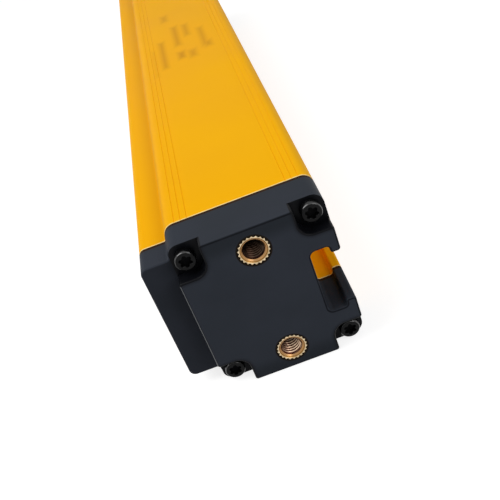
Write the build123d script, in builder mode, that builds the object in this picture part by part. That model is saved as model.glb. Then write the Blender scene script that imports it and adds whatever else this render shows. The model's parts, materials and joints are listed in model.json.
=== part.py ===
from build123d import *
from math import atan, cos, degrees, radians
import os

# A safety light curtain bar: one of the pair that guards a machine.
# It lies on one side face with its long axis along Y, the window towards -X,
# the mounting slot towards +X, the plain end towards -Y and the connector towards +Y.
# All lengths are millimetres.

os.makedirs("parts", exist_ok=True)

# Housing section
profile_width = 50.0
profile_height = 46.9
profile_length = 286.0
wall = 2.2
front_depth = 8.4
front_step = 4.3
step_fillet = 0.9
step_flat = 0.1
front_corner_radius = 2.0
back_corner_radius = 3.3
shoulder_radius = front_step - step_fillet - step_flat

# Mounting slot along the back
slot_mouth = 15.8
slot_width = 20.1
slot_depth = 8.0
slot_lip = 2.7
slot_lip_radius = 0.8
slot_lip_back_radius = 0.6
slot_floor_radius = 1.6
slot_inner_radius = 1.0

# Fine V-shaped lines drawn along the two side faces
line_depth = 0.15
line_pitch = 1.75
line_reach = 17.2
lines_per_edge = 3

# Window, its seals and the groove that holds them
window_opening = 28.2
window_lip = 1.6
window_thickness = 2.0
window_clearance = 0.2
window_edge_clearance = 0.3
window_ledge = 1.4
ledge_overlap = 2.0
seal_thickness = 0.8

# End caps
cap_depth = 15.2
shelf_depth = 9.5
pocket_floor = 10.6
block_inset = 8.75
block_corner_radius = 2.8
pocket_reach = 4.5
pocket_radius = 3.7
pocket_mouth_radius = 0.7
cap_edge_radius = 0.5
cap_shell = 3.0
core_radius = 2.0
core_margin = 1.0
spigot_length = 4.0
spigot_wall = 1.8
fit_clearance = 0.3
gasket_thickness = 0.4
gasket_inset = 0.2

# Screws that hold the caps, and the ports that they thread into
screw_diameter = 3.0
screw_reach = 8.0
screw_head_diameter = 5.6
screw_head_height = 2.5
screw_head_round = 0.5
screw_hole_clearance = 0.2
port_clearance = 0.05
port_wall = 1.6
front_port_inset = 3.75
front_port_drop = 4.1
back_port_inset = 4.0
back_port_drop = 3.7
drive_lobes = 6
drive_reach = 1.75
drive_lobe_radius = 0.45
drive_depth = 1.4

# Brass inserts that take the mounting bracket's screws
insert_inset = 6.65
insert_diameter = 8.5
insert_length = 12.0
insert_teeth = 22
insert_tooth_depth = 0.4
insert_bore = 5.0
insert_lead_in = 0.7
insert_clearance = 0.05
insert_wall = 1.5

# Round plug connector in the far cap
nose_length = 12.0
nose_diameter = 12.0
nose_wall = 1.1
nose_chamfer = 0.4
socket_depth = 8.5
hex_across = 18.0
hex_height = 3.0
stem_diameter = 13.0
stem_spare = 1.5
nut_across = 16.0
nut_height = 3.0
ring_section = 1.2
seat_clearance = 0.05
insulator_spare = 1.0
pin_diameter = 1.0
pin_clearance = 0.03
pin_circle = 4.9
pins_on_circle = 4
pin_start_angle = 45.0
pin_height = 7.0
pin_tail = 0.8
pin_chamfer = 0.25

# Circuit board and what is soldered to it
board_thickness = 1.6
board_clearance = 0.1
board_setback = 23.3
board_end_gap = 7.0
rail_thickness = 1.2
rail_height = 2.2
beam_count = 12
diode_side = 3.6
diode_base = 1.0
diode_lens = 3.0
diode_height = 2.4
status_count = 3
status_pitch = 4.0
status_side = 1.8
status_height = 1.0
status_room = 28.0
status_setback = 4.5
status_tunnel = 3.0
chip_side = 10.0
chip_height = 1.4
chip_bevel = 0.3
chip_from_end = 50.0
driver_length = 8.0
driver_width = 5.0
driver_from_end = 90.0
driver_pitch = 60.0
capacitor_diameter = 8.0
capacitor_height = 9.0
capacitor_round = 0.6
capacitor_from_end = 24.0
capacitor_spread = 12.0
header_length = 5.0
header_width = 9.0
header_height = 4.0
header_from_end = 2.0

# Lens strip and the black carrier between it and the board
carrier_end_gap = 2.0
lens_gap = 0.8
lens_rise = 1.2
lens_diameter = 15.0
lens_plate = 1.5
lens_width = 26.0
tunnel_mouth = 13.5
tunnel_throat = 7.0
tunnel_taper_depth = 7.0

# Small board behind the connector, and the flat lead from it to the main board
link_board_side = 15.0
link_board_gap = 1.0
ribbon_width = 6.0
ribbon_thickness = 0.3
ribbon_clearance = 0.1
ribbon_entry = 3.5
ribbon_straight = 3.0
ribbon_bend = 2.5

# Places that follow from the sizes
half_height = profile_height / 2
window_side = -profile_width / 2
slot_side = profile_width / 2
step_x = window_side + front_depth
block_x = window_side + block_inset
block_middle = (block_x + slot_side) / 2
slot_floor_x = slot_side - slot_depth
chamber_back_x = slot_floor_x - wall
port_radius = screw_diameter / 2 + port_clearance
screw_hole_radius = screw_diameter / 2 + screw_hole_clearance
front_port_x = block_x + front_port_inset
back_port_x = slot_side - back_port_inset
front_ports = [(front_port_x, side * (half_height - front_port_drop)) for side in (1, -1)]
back_ports = [(back_port_x, side * (half_height - back_port_drop)) for side in (1, -1)]
ports = front_ports + back_ports
insert_height = half_height - insert_inset
insert_places = [(block_middle, side * insert_height) for side in (1, -1)]
middle_y = -nose_length / 2
cap_inner_y = profile_length / 2 + gasket_thickness
tiny = 0.001


def across_bar(y, facing):
    """A plane across the bar at y, with +X to its right, facing -Y or +Y."""
    return Plane(origin=(0, y, half_height), x_dir=(1, 0, 0), z_dir=(0, facing, 0))


def height_on(plane, shape):
    """How far the middle of a shape stands above a plane."""
    return (shape.center() - plane.origin).dot(plane.z_dir)


bar_start = across_bar(middle_y - profile_length / 2, 1)
ends = {
    "near": across_bar(middle_y - cap_inner_y, -1),
    "far": across_bar(middle_y + cap_inner_y, 1),
}

# Outline shared by the housing, the gaskets and the caps
with BuildSketch() as outline:
    with Locations((window_side + front_depth / 2, 0)):
        Rectangle(front_depth, profile_height - 2 * front_step)
    with Locations(((step_x + slot_side) / 2, 0)):
        Rectangle(slot_side - step_x, profile_height)
    fillet(outline.vertices().group_by(Axis.X)[0], front_corner_radius)
    fillet(outline.vertices().group_by(Axis.X)[-1], back_corner_radius)
    step_corners = [v for v in outline.vertices() if abs(v.X - step_x) < tiny]
    fillet([v for v in step_corners if abs(v.Y) > half_height - tiny], shoulder_radius)
    step_corners = [v for v in outline.vertices() if abs(v.X - step_x) < tiny]
    fillet([v for v in step_corners if abs(v.Y) < half_height - front_step + tiny], step_fillet)

with BuildSketch() as slotted:
    add(outline.sketch)
    with Locations((slot_floor_x + (slot_depth - slot_lip) / 2, 0)):
        Rectangle(slot_depth - slot_lip, slot_width, mode=Mode.SUBTRACT)
    with Locations((slot_side - slot_depth / 2, 0)):
        Rectangle(slot_depth, slot_mouth, mode=Mode.SUBTRACT)
    fillet([v for v in slotted.vertices() if abs(v.X - slot_floor_x) < tiny], slot_floor_radius)
    behind_lip = [v for v in slotted.vertices() if abs(v.X - slot_side + slot_lip) < tiny]
    fillet([v for v in behind_lip if abs(v.Y) > slot_width / 2 - tiny], slot_inner_radius)
    behind_lip = [v for v in slotted.vertices() if abs(v.X - slot_side + slot_lip) < tiny]
    fillet([v for v in behind_lip if abs(v.Y) < slot_mouth / 2 + tiny], slot_lip_back_radius)
    at_mouth = [v for v in slotted.vertices() if abs(v.X - slot_side) < tiny]
    fillet([v for v in at_mouth if abs(v.Y) < slot_mouth / 2 + tiny], slot_lip_radius)

# Hollows inside the housing
groove_half = half_height - front_step - wall
window_front_x = window_side + window_lip + seal_thickness
window_back_x = window_front_x + window_thickness
ledge_x = window_back_x + window_clearance
optics_x = ledge_x + window_ledge
optics_half = half_height - front_port_drop - port_radius - port_wall
port_end_x = front_port_x + port_radius + port_wall
chamber_half = half_height - wall
side_pocket_x = slot_side - wall
side_pocket_inner = slot_width / 2 + wall

with BuildSketch() as window_slot:
    with Locations((window_side + window_lip / 2, 0)):
        Rectangle(window_lip, window_opening)
    with Locations(((window_side + window_lip + ledge_x) / 2, 0)):
        Rectangle(ledge_x - window_side - window_lip, 2 * groove_half)
    with Locations((ledge_x + window_ledge / 2, 0)):
        Rectangle(window_ledge, 2 * (groove_half - ledge_overlap))

with BuildSketch() as inner_space:
    with Locations(((optics_x + port_end_x) / 2, 0)):
        Rectangle(port_end_x - optics_x, 2 * optics_half)
    with Locations(((port_end_x + side_pocket_x) / 2, 0)):
        Rectangle(side_pocket_x - port_end_x, 2 * chamber_half)
    with Locations(((chamber_back_x + side_pocket_x) / 2, 0)):
        Rectangle(side_pocket_x - chamber_back_x, 2 * side_pocket_inner, mode=Mode.SUBTRACT)
    with Locations(*back_ports):
        Circle(port_radius + port_wall, mode=Mode.SUBTRACT)

# Yellow extruded housing, with rails inside for the circuit board
board_x = window_side + board_setback
board_back_x = board_x + board_thickness
rail_front_x = board_x - board_clearance - rail_thickness / 2
rail_back_x = board_back_x + board_clearance + rail_thickness / 2
rail_middle = chamber_half - rail_height / 2
rail_places = [(x, side * rail_middle) for x in (rail_front_x, rail_back_x) for side in (1, -1)]
line_places = [
    (block_middle + side * (line_reach - n * line_pitch), face * half_height)
    for n in range(lines_per_edge)
    for side in (1, -1)
    for face in (1, -1)
]
with BuildPart() as housing_profile:
    with BuildSketch(bar_start):
        add(slotted.sketch)
        add(window_slot.sketch, mode=Mode.SUBTRACT)
        add(inner_space.sketch, mode=Mode.SUBTRACT)
        with Locations(*rail_places):
            Rectangle(rail_thickness, rail_height)
        with Locations(*ports):
            Circle(port_radius, mode=Mode.SUBTRACT)
        with Locations(*line_places):
            RegularPolygon(line_depth, 4, mode=Mode.SUBTRACT)
    extrude(amount=profile_length)
housing_profile.part.label = "housing_profile"
export_step(housing_profile.part, "parts/housing_profile.step")

# Strip that the light goes through, and the seals between it and the housing's lips
window_half = groove_half - window_edge_clearance
with BuildPart() as front_window:
    with BuildSketch(bar_start):
        with Locations(((window_front_x + window_back_x) / 2, 0)):
            Rectangle(window_thickness, 2 * window_half)
    extrude(amount=profile_length)
front_window.part.label = "front_window"
export_step(front_window.part, "parts/front_window.step")

seal_width = window_half - window_opening / 2
for seal_name, side in (("upper", -1), ("lower", 1)):
    with BuildPart() as window_seal:
        with BuildSketch(bar_start):
            with Locations((window_front_x - seal_thickness / 2, side * (window_half - seal_width / 2))):
                Rectangle(seal_thickness, seal_width)
        extrude(amount=profile_length)
    window_seal.part.label = f"window_seal_{seal_name}"
    export_step(window_seal.part, f"parts/window_seal_{seal_name}.step")

# Outlines of the cap's thick block: whole, and with the four screw pockets cut out
with BuildSketch() as block:
    with Locations((block_middle, 0)):
        Rectangle(slot_side - block_x, profile_height)
    fillet(block.vertices().group_by(Axis.X)[0], block_corner_radius)
    add(slotted.sketch, mode=Mode.INTERSECT)

front_pocket_width = front_port_x + pocket_reach - block_x
front_pocket_height = front_port_drop + pocket_reach
back_pocket_width = slot_side - back_port_x + pocket_reach
back_pocket_height = back_port_drop + pocket_reach
with BuildSketch() as front_pocket:
    Rectangle(2 * front_pocket_width, 2 * front_pocket_height)
    fillet(front_pocket.vertices(), pocket_radius)
with BuildSketch() as back_pocket:
    Rectangle(2 * back_pocket_width, 2 * back_pocket_height)
    fillet(back_pocket.vertices(), pocket_radius)

with BuildSketch() as raised_block:
    add(block.sketch)
    with Locations((block_x, half_height), (block_x, -half_height)):
        add(front_pocket.sketch, mode=Mode.SUBTRACT)
    with Locations((slot_side, half_height), (slot_side, -half_height)):
        add(back_pocket.sketch, mode=Mode.SUBTRACT)
    rows = raised_block.vertices().group_by(Axis.Y)
    fillet(rows[0] + rows[-1], pocket_mouth_radius)
    left_corners = raised_block.vertices().group_by(Axis.X)[0]
    right_corners = raised_block.vertices().group_by(Axis.X)[-1].sort_by(Axis.Y)
    fillet(left_corners + right_corners[:1] + right_corners[-1:], pocket_mouth_radius)

# Outline of the knurled inserts, and of the seat that the cap's plastic forms around them
half_tooth = 180 / insert_teeth
with BuildSketch() as knurl:
    with BuildLine():
        Polyline(
            *[
                Vector(insert_diameter / 2 - insert_tooth_depth * (n % 2), 0).rotate(Axis.Z, n * half_tooth)
                for n in range(2 * insert_teeth)
            ],
            close=True,
        )
    make_face()
with BuildSketch() as insert_seat:
    offset(knurl.sketch, amount=insert_clearance, kind=Kind.INTERSECTION)

# Moulded end caps: the near one is plain, and the far one carries the connector
spigot_left = port_end_x + fit_clearance
spigot_right = chamber_back_x - fit_clearance
spigot_half = chamber_half - rail_height - fit_clearance
spigot_middle = (spigot_left + spigot_right) / 2
core_width = nut_across / cos(radians(30)) + 2 * core_margin
core_half = insert_height - insert_diameter / 2 - insert_wall

for end_name, end in ends.items():
    outer_face = end.offset(cap_depth)
    with BuildPart() as end_cap:
        with BuildSketch(end):
            add(slotted.sketch)
        extrude(amount=shelf_depth)
        shelf_rim = [e for e in end_cap.edges() if height_on(end, e) > shelf_depth - tiny]
        fillet(shelf_rim, cap_edge_radius)
        with BuildSketch(end):
            add(block.sketch)
        extrude(amount=pocket_floor)
        with BuildSketch(end.offset(pocket_floor)):
            add(raised_block.sketch)
        extrude(amount=cap_depth - pocket_floor)
        face_rim = [e for e in end_cap.edges() if height_on(end, e) > cap_depth - tiny]
        fillet(face_rim, cap_edge_radius)
        with BuildSketch(end):
            with Locations((spigot_middle, 0)):
                Rectangle(spigot_right - spigot_left, 2 * spigot_half)
                Rectangle(
                    spigot_right - spigot_left - 2 * spigot_wall,
                    2 * (spigot_half - spigot_wall),
                    mode=Mode.SUBTRACT,
                )
        extrude(amount=-(spigot_length + gasket_thickness))
        with BuildSketch(end):
            with Locations((spigot_middle, 0)):
                RectangleRounded(core_width, 2 * core_half, core_radius)
        extrude(amount=cap_depth - cap_shell, mode=Mode.SUBTRACT)
        with BuildSketch(end):
            with Locations(*ports):
                Circle(screw_hole_radius)
        extrude(amount=pocket_floor, mode=Mode.SUBTRACT)
        with BuildSketch(outer_face):
            with Locations(*insert_places):
                add(insert_seat.sketch)
        extrude(amount=-insert_length, mode=Mode.SUBTRACT)
        if end_name == "far":
            with BuildSketch(outer_face):
                with Locations((spigot_middle, 0)):
                    Circle(stem_diameter / 2 + seat_clearance)
            extrude(amount=-cap_shell, mode=Mode.SUBTRACT)
            with BuildSketch(outer_face):
                with Locations((spigot_middle, 0)):
                    Circle(stem_diameter / 2 + ring_section + 2 * seat_clearance)
            extrude(amount=-ring_section, mode=Mode.SUBTRACT)
    end_cap.part.label = f"end_cap_{end_name}"
    export_step(end_cap.part, f"parts/end_cap_{end_name}.step")

# Flat gasket between each cap and the housing
for end_name, end in ends.items():
    with BuildPart() as end_gasket:
        with BuildSketch(end):
            offset(slotted.sketch, amount=-gasket_inset)
            add(inner_space.sketch, mode=Mode.SUBTRACT)
            with Locations(*ports):
                Circle(screw_hole_radius, mode=Mode.SUBTRACT)
        extrude(amount=-gasket_thickness)
    end_gasket.part.label = f"end_gasket_{end_name}"
    export_step(end_gasket.part, f"parts/end_gasket_{end_name}.step")

# Cap screws with a rounded head and a six-lobed recess
lobe_circle = drive_reach - drive_lobe_radius
for end_name, end in ends.items():
    seat = end.offset(pocket_floor)
    for number, place in enumerate(ports, 1):
        with BuildPart() as cap_screw:
            with BuildSketch(seat):
                with Locations(place):
                    Circle(screw_head_diameter / 2)
            extrude(amount=screw_head_height)
            head_rim = [e for e in cap_screw.edges() if height_on(seat, e) > screw_head_height / 2]
            fillet([e for e in head_rim if e.geom_type == GeomType.CIRCLE], screw_head_round)
            with BuildSketch(seat.offset(screw_head_height)):
                with Locations(place):
                    Circle(lobe_circle)
                    with PolarLocations(lobe_circle, drive_lobes):
                        Circle(drive_lobe_radius)
            extrude(amount=-drive_depth, mode=Mode.SUBTRACT)
            with BuildSketch(seat):
                with Locations(place):
                    Circle(screw_diameter / 2)
            extrude(amount=-(pocket_floor + gasket_thickness + screw_reach))
        cap_screw.part.label = f"cap_screw_{end_name}_{number}"
        export_step(cap_screw.part, f"parts/cap_screw_{end_name}_{number}.step")

# Knurled brass inserts, flush with the caps' outer faces
for end_name, end in ends.items():
    outer_face = end.offset(cap_depth)
    for number, place in enumerate(insert_places, 1):
        with BuildPart() as threaded_insert:
            with BuildSketch(outer_face):
                with Locations(place):
                    add(knurl.sketch)
                    Circle(insert_bore / 2, mode=Mode.SUBTRACT)
            extrude(amount=-insert_length)
            bore_edges = threaded_insert.edges().filter_by(GeomType.CIRCLE)
            chamfer([e for e in bore_edges if height_on(outer_face, e) > -tiny], insert_lead_in)
        threaded_insert.part.label = f"threaded_insert_{end_name}_{number}"
        export_step(threaded_insert.part, f"parts/threaded_insert_{end_name}_{number}.step")

# Connector: a metal shell through the far cap, with its ring, nut, insulator and pins
socket = Plane(
    origin=(spigot_middle, middle_y + cap_inner_y + cap_depth, half_height),
    x_dir=(1, 0, 0),
    z_dir=(0, 1, 0),
)
stem_length = cap_shell + nut_height + stem_spare
shell_bore_radius = nose_diameter / 2 - nose_wall
socket_floor = nose_length - socket_depth
insulator_end = -(stem_length + insulator_spare)
link_board_top = insulator_end - link_board_gap
link_board_bottom = link_board_top - board_thickness

with BuildPart() as connector_shell:
    with BuildSketch(socket):
        RegularPolygon(hex_across / 2, 6, major_radius=False)
    extrude(amount=hex_height)
    chamfer(connector_shell.faces().sort_by(Axis.Y)[-1].edges(), nose_chamfer)
    with BuildSketch(socket.offset(hex_height)):
        Circle(nose_diameter / 2)
    extrude(amount=nose_length - hex_height)
    chamfer(connector_shell.faces().sort_by(Axis.Y)[-1].edges(), nose_chamfer)
    with BuildSketch(socket):
        Circle(stem_diameter / 2)
    extrude(amount=-stem_length)
    with BuildSketch(socket.offset(nose_length)):
        Circle(shell_bore_radius)
    extrude(amount=-(nose_length + stem_length), mode=Mode.SUBTRACT)
connector_shell.part.label = "connector_shell"
export_step(connector_shell.part, "parts/connector_shell.step")

with BuildPart() as connector_ring:
    with BuildSketch(Plane.XY.offset(half_height)):
        ring_radius = stem_diameter / 2 + seat_clearance + ring_section / 2
        with Locations((spigot_middle + ring_radius, socket.origin.Y - ring_section / 2)):
            Circle(ring_section / 2)
    revolve(axis=Axis(socket.origin, socket.z_dir))
connector_ring.part.label = "connector_ring"
export_step(connector_ring.part, "parts/connector_ring.step")

with BuildPart() as connector_nut:
    with BuildSketch(socket.offset(-cap_shell)):
        RegularPolygon(nut_across / 2, 6, major_radius=False)
        Circle(stem_diameter / 2 + seat_clearance, mode=Mode.SUBTRACT)
    extrude(amount=-nut_height)
connector_nut.part.label = "connector_nut"
export_step(connector_nut.part, "parts/connector_nut.step")

with BuildSketch() as pin_holes:
    Circle(pin_diameter / 2 + pin_clearance)
    with PolarLocations(pin_circle / 2, pins_on_circle, pin_start_angle):
        Circle(pin_diameter / 2 + pin_clearance)

with BuildPart() as connector_insulator:
    with BuildSketch(socket.offset(socket_floor)):
        Circle(shell_bore_radius - seat_clearance)
        add(pin_holes.sketch, mode=Mode.SUBTRACT)
    extrude(amount=insulator_end - socket_floor)
connector_insulator.part.label = "connector_insulator"
export_step(connector_insulator.part, "parts/connector_insulator.step")

pin_ring = PolarLocations(pin_circle / 2, pins_on_circle, pin_start_angle)
pin_places = [(0, 0)] + [(spot.position.X, spot.position.Y) for spot in pin_ring]
for number, place in enumerate(pin_places, 1):
    with BuildPart() as connector_pin:
        with BuildSketch(socket.offset(socket_floor + pin_height)):
            with Locations(place):
                Circle(pin_diameter / 2)
        extrude(amount=link_board_bottom - pin_tail - socket_floor - pin_height)
        chamfer(connector_pin.faces().sort_by(Axis.Y)[-1].edges(), pin_chamfer)
    connector_pin.part.label = f"connector_pin_{number}"
    export_step(connector_pin.part, f"parts/connector_pin_{number}.step")

with BuildPart() as connector_board:
    with BuildSketch(socket.offset(link_board_top)):
        Rectangle(link_board_side, link_board_side)
        add(pin_holes.sketch, mode=Mode.SUBTRACT)
    extrude(amount=-board_thickness)
connector_board.part.label = "connector_board"
export_step(connector_board.part, "parts/connector_board.step")

# Main circuit board, in its rails
board_length = profile_length - 2 * board_end_gap
board_end = board_length / 2
board_front = Plane(origin=(board_x, middle_y, half_height), x_dir=(0, 1, 0), z_dir=(-1, 0, 0))
board_back = Plane(origin=(board_back_x, middle_y, half_height), x_dir=(0, 1, 0), z_dir=(1, 0, 0))
with BuildPart() as main_board:
    with BuildSketch(board_front):
        Rectangle(board_length, 2 * (chamber_half - fit_clearance))
    extrude(amount=-board_thickness)
main_board.part.label = "main_board"
export_step(main_board.part, "parts/main_board.step")

# Beams: one diode, one tunnel in the carrier and one lens for each
carrier_end = board_end - carrier_end_gap
beam_room = 2 * carrier_end - status_room
beam_pitch = beam_room / beam_count
beam_places = [
    (-status_room / 2 + (n - (beam_count - 1) / 2) * beam_pitch, 0) for n in range(beam_count)
]
status_places = [
    (carrier_end - status_setback, (n - (status_count - 1) / 2) * status_pitch)
    for n in range(status_count)
]
for number, place in enumerate(beam_places, 1):
    with BuildPart() as beam_diode:
        with BuildSketch(board_front):
            with Locations(place):
                Rectangle(diode_side, diode_side)
        extrude(amount=diode_base)
        with BuildSketch(board_front.offset(diode_base)):
            with Locations(place):
                Circle(diode_lens / 2)
        extrude(amount=diode_height - diode_base)
    beam_diode.part.label = f"beam_diode_{number}"
    export_step(beam_diode.part, f"parts/beam_diode_{number}.step")

for number, place in enumerate(status_places, 1):
    with BuildPart() as status_light:
        with BuildSketch(board_front):
            with Locations(place):
                Rectangle(status_side, status_side)
        extrude(amount=status_height)
    status_light.part.label = f"status_light_{number}"
    export_step(status_light.part, f"parts/status_light_{number}.step")

lens_back_x = window_back_x + lens_gap + lens_rise + lens_plate
carrier_depth = board_x - board_clearance - lens_back_x
carrier_front = board_front.offset(board_clearance + carrier_depth)
tunnel_taper = degrees(atan((tunnel_mouth - tunnel_throat) / 2 / tunnel_taper_depth))
with BuildPart() as optic_carrier:
    with BuildSketch(carrier_front):
        Rectangle(2 * carrier_end, 2 * (optics_half - fit_clearance))
    extrude(amount=-carrier_depth)
    with BuildSketch(carrier_front):
        with Locations(*beam_places):
            Circle(tunnel_throat / 2)
        with Locations(*status_places):
            Circle(status_tunnel / 2)
    extrude(amount=-carrier_depth, mode=Mode.SUBTRACT)
    with BuildSketch(carrier_front):
        with Locations(*beam_places):
            Circle(tunnel_mouth / 2)
    extrude(amount=-tunnel_taper_depth, taper=tunnel_taper, mode=Mode.SUBTRACT)
optic_carrier.part.label = "optic_carrier"
export_step(optic_carrier.part, "parts/optic_carrier.step")

lens_ball_radius = ((lens_diameter / 2) ** 2 + lens_rise**2) / (2 * lens_rise)
with BuildPart() as lens_dome:
    with BuildSketch(Plane.XZ):
        with BuildLine():
            Line((0, 0), (lens_diameter / 2, 0))
            RadiusArc((lens_diameter / 2, 0), (0, lens_rise), -lens_ball_radius)
            Line((0, lens_rise), (0, 0))
        make_face()
    revolve(axis=Axis.Z)

lens_front = carrier_front.offset(lens_plate)
with BuildPart() as lens_strip:
    with BuildSketch(carrier_front):
        with Locations((-status_room / 2, 0)):
            Rectangle(beam_room, lens_width)
    extrude(amount=lens_plate)
    with Locations(*[lens_front.location * Location(place) for place in beam_places]):
        add(lens_dome.part)
lens_strip.part.label = "lens_strip"
export_step(lens_strip.part, "parts/lens_strip.step")

# Parts on the back of the board
with BuildPart() as processor_chip:
    with BuildSketch(board_back):
        with Locations((board_end - chip_from_end, 0)):
            Rectangle(chip_side, chip_side)
    extrude(amount=chip_height)
    chamfer(processor_chip.faces().sort_by(Axis.X)[-1].edges(), chip_bevel)
processor_chip.part.label = "processor_chip"
export_step(processor_chip.part, "parts/processor_chip.step")

for number in (1, 2):
    with BuildPart() as driver_chip:
        with BuildSketch(board_back):
            with Locations((board_end - driver_from_end - (number - 1) * driver_pitch, 0)):
                Rectangle(driver_length, driver_width)
        extrude(amount=chip_height)
        chamfer(driver_chip.faces().sort_by(Axis.X)[-1].edges(), chip_bevel)
    driver_chip.part.label = f"driver_chip_{number}"
    export_step(driver_chip.part, f"parts/driver_chip_{number}.step")

for number, side in ((1, 1), (2, -1)):
    with BuildPart() as capacitor:
        with BuildSketch(board_back):
            with Locations((board_end - capacitor_from_end, side * capacitor_spread / 2)):
                Circle(capacitor_diameter / 2)
        extrude(amount=capacitor_height)
        fillet(capacitor.faces().sort_by(Axis.X)[-1].edges(), capacitor_round)
    capacitor.part.label = f"capacitor_{number}"
    export_step(capacitor.part, f"parts/capacitor_{number}.step")

header_face_y = middle_y + board_end - header_from_end
ribbon_x = board_back_x + header_height / 2
with BuildPart() as board_header:
    with BuildSketch(board_back):
        with Locations((board_end - header_from_end - header_length / 2, 0)):
            Rectangle(header_length, header_width)
    extrude(amount=header_height)
    with BuildSketch(across_bar(header_face_y, 1)):
        with Locations((ribbon_x, 0)):
            Rectangle(ribbon_thickness + 2 * ribbon_clearance, ribbon_width + 2 * ribbon_clearance)
    extrude(amount=-(ribbon_entry + ribbon_clearance), mode=Mode.SUBTRACT)
board_header.part.label = "board_header"
export_step(board_header.part, "parts/board_header.step")

ribbon_start_y = socket.origin.Y + link_board_bottom
with BuildPart() as link_ribbon:
    with BuildLine(Plane.XY.offset(half_height)):
        route = FilletPolyline(
            (spigot_middle, ribbon_start_y - pin_tail),
            (spigot_middle, ribbon_start_y - pin_tail - ribbon_straight),
            (ribbon_x, header_face_y + ribbon_straight),
            (ribbon_x, header_face_y - ribbon_entry),
            radius=ribbon_bend,
        )
    with BuildSketch(Plane(origin=route @ 0, x_dir=(1, 0, 0), z_dir=route % 0)):
        Rectangle(ribbon_thickness, ribbon_width)
    sweep()
link_ribbon.part.label = "link_ribbon"
export_step(link_ribbon.part, "parts/link_ribbon.step")
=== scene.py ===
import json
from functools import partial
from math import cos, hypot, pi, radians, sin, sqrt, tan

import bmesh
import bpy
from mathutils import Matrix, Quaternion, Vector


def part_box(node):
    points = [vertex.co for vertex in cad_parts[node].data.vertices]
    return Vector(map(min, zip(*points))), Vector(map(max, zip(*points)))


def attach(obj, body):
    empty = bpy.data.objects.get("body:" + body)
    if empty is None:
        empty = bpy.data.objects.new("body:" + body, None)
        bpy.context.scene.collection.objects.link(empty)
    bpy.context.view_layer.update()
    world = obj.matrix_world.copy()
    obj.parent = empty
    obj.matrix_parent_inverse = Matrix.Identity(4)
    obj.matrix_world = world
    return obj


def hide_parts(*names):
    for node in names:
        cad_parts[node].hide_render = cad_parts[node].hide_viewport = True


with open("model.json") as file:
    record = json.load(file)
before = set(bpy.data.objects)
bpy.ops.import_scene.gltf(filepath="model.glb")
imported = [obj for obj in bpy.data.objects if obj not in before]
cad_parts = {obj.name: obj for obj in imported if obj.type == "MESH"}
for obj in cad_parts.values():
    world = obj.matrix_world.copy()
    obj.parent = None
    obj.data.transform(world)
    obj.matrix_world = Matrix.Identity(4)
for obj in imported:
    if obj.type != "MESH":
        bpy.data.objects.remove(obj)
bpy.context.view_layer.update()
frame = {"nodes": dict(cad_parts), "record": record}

# %% [markdown]
# # A safety light curtain bar
#
# The bar is one of the pair that guards a machine: a yellow painted aluminium extrusion with a
# dark moulded cap on each end. The solids come from the frame. This lesson gives them their
# looks, one piece at a time: finishes first, then the housing, the caps, the fasteners, the
# connector and the optics behind the window.
# All sizes are written in millimetres and multiplied by MM, because Blender works in metres.

MM = 0.001
nodes = frame["nodes"]


def box_of(node):
    """Lowest and highest corner of a node, in millimetres."""
    low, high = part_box(node)
    return Vector(low) / MM, Vector(high) / MM


def shown(name, data):
    """A new object in the scene."""
    thing = bpy.data.objects.new(name, data)
    bpy.context.scene.collection.objects.link(thing)
    return thing


print("nodes in the frame:", len(nodes))

# %% [markdown]
# ## Camera
#
# The picture was taken from close by, from above one end of the bar, with the camera turned
# about its own axis. A real lens length and a real distance give the same strong perspective:
# the far part of the bar looks much narrower than the near cap.

# %% Camera
cap_face = box_of("end_cap_near")[0].y
camera_place = Vector((9.74, cap_face - 156.42, 142.51)) * MM
camera_aim = Vector((3.20, cap_face + 7.92, 35.72)) * MM
camera_roll, lens_length, nearest_seen = radians(-21.71), 54.56, 10.0


def look_from(thing, place):
    """Stand a camera or a lamp at a place and turn it to the aim."""
    thing.location = place
    thing.rotation_mode = "QUATERNION"
    thing.rotation_quaternion = (camera_aim - place).to_track_quat("-Z", "Y")


camera = shown("camera", bpy.data.cameras.new("camera"))
camera.data.lens = lens_length
camera.data.clip_start = nearest_seen * MM
look_from(camera, camera_place)
camera.rotation_quaternion = camera.rotation_quaternion @ Quaternion((0, 0, 1), camera_roll)
bpy.context.scene.camera = camera
bpy.context.scene.view_settings.view_transform = "Standard"
print("camera stands", round((camera_aim - camera_place).length / MM), "mm from the cap")

# %% [markdown]
# ## Node trees
#
# Materials, node groups and Geometry Nodes are all trees of nodes. One helper adds a node and
# gives its outputs, and a value handed to it is either set or linked. Sums read best in words,
# so each common Math node has a short name and goes into the tree of its first linked value.

# %% Helpers for any tree
def added(tree, kind, inputs=None, **settings):
    """A node whose inputs are set to numbers or linked to other nodes. Gives its outputs in use."""
    node = tree.nodes.new(kind)
    for setting, value in settings.items():
        setattr(node, setting, value)
    for socket, value in (inputs or {}).items():
        if isinstance(value, bpy.types.NodeSocket):
            tree.links.new(value, node.inputs[socket])
        else:
            node.inputs[socket].default_value = value
    return [socket for socket in node.outputs if socket.enabled]


def maths(operation, *values):
    """One Math node, in the tree that its first linked value belongs to."""
    tree = next(value.id_data for value in values if isinstance(value, bpy.types.NodeSocket))
    return added(tree, "ShaderNodeMath", dict(enumerate(values)), operation=operation)[0]


plus, minus, over, least, most, above, below, size_of = (partial(maths, operation) for operation in (
    "ADD", "SUBTRACT", "DIVIDE", "MINIMUM", "MAXIMUM", "GREATER_THAN", "LESS_THAN", "ABSOLUTE"))


def times(first, *others):
    """The product of several masks or numbers."""
    for other in others:
        first = maths("MULTIPLY", first, other)
    return first


def slant(one, two):
    """The straight distance that two distances at a right angle make."""
    return maths("SQRT", plus(times(one, one), times(two, two)))


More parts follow.
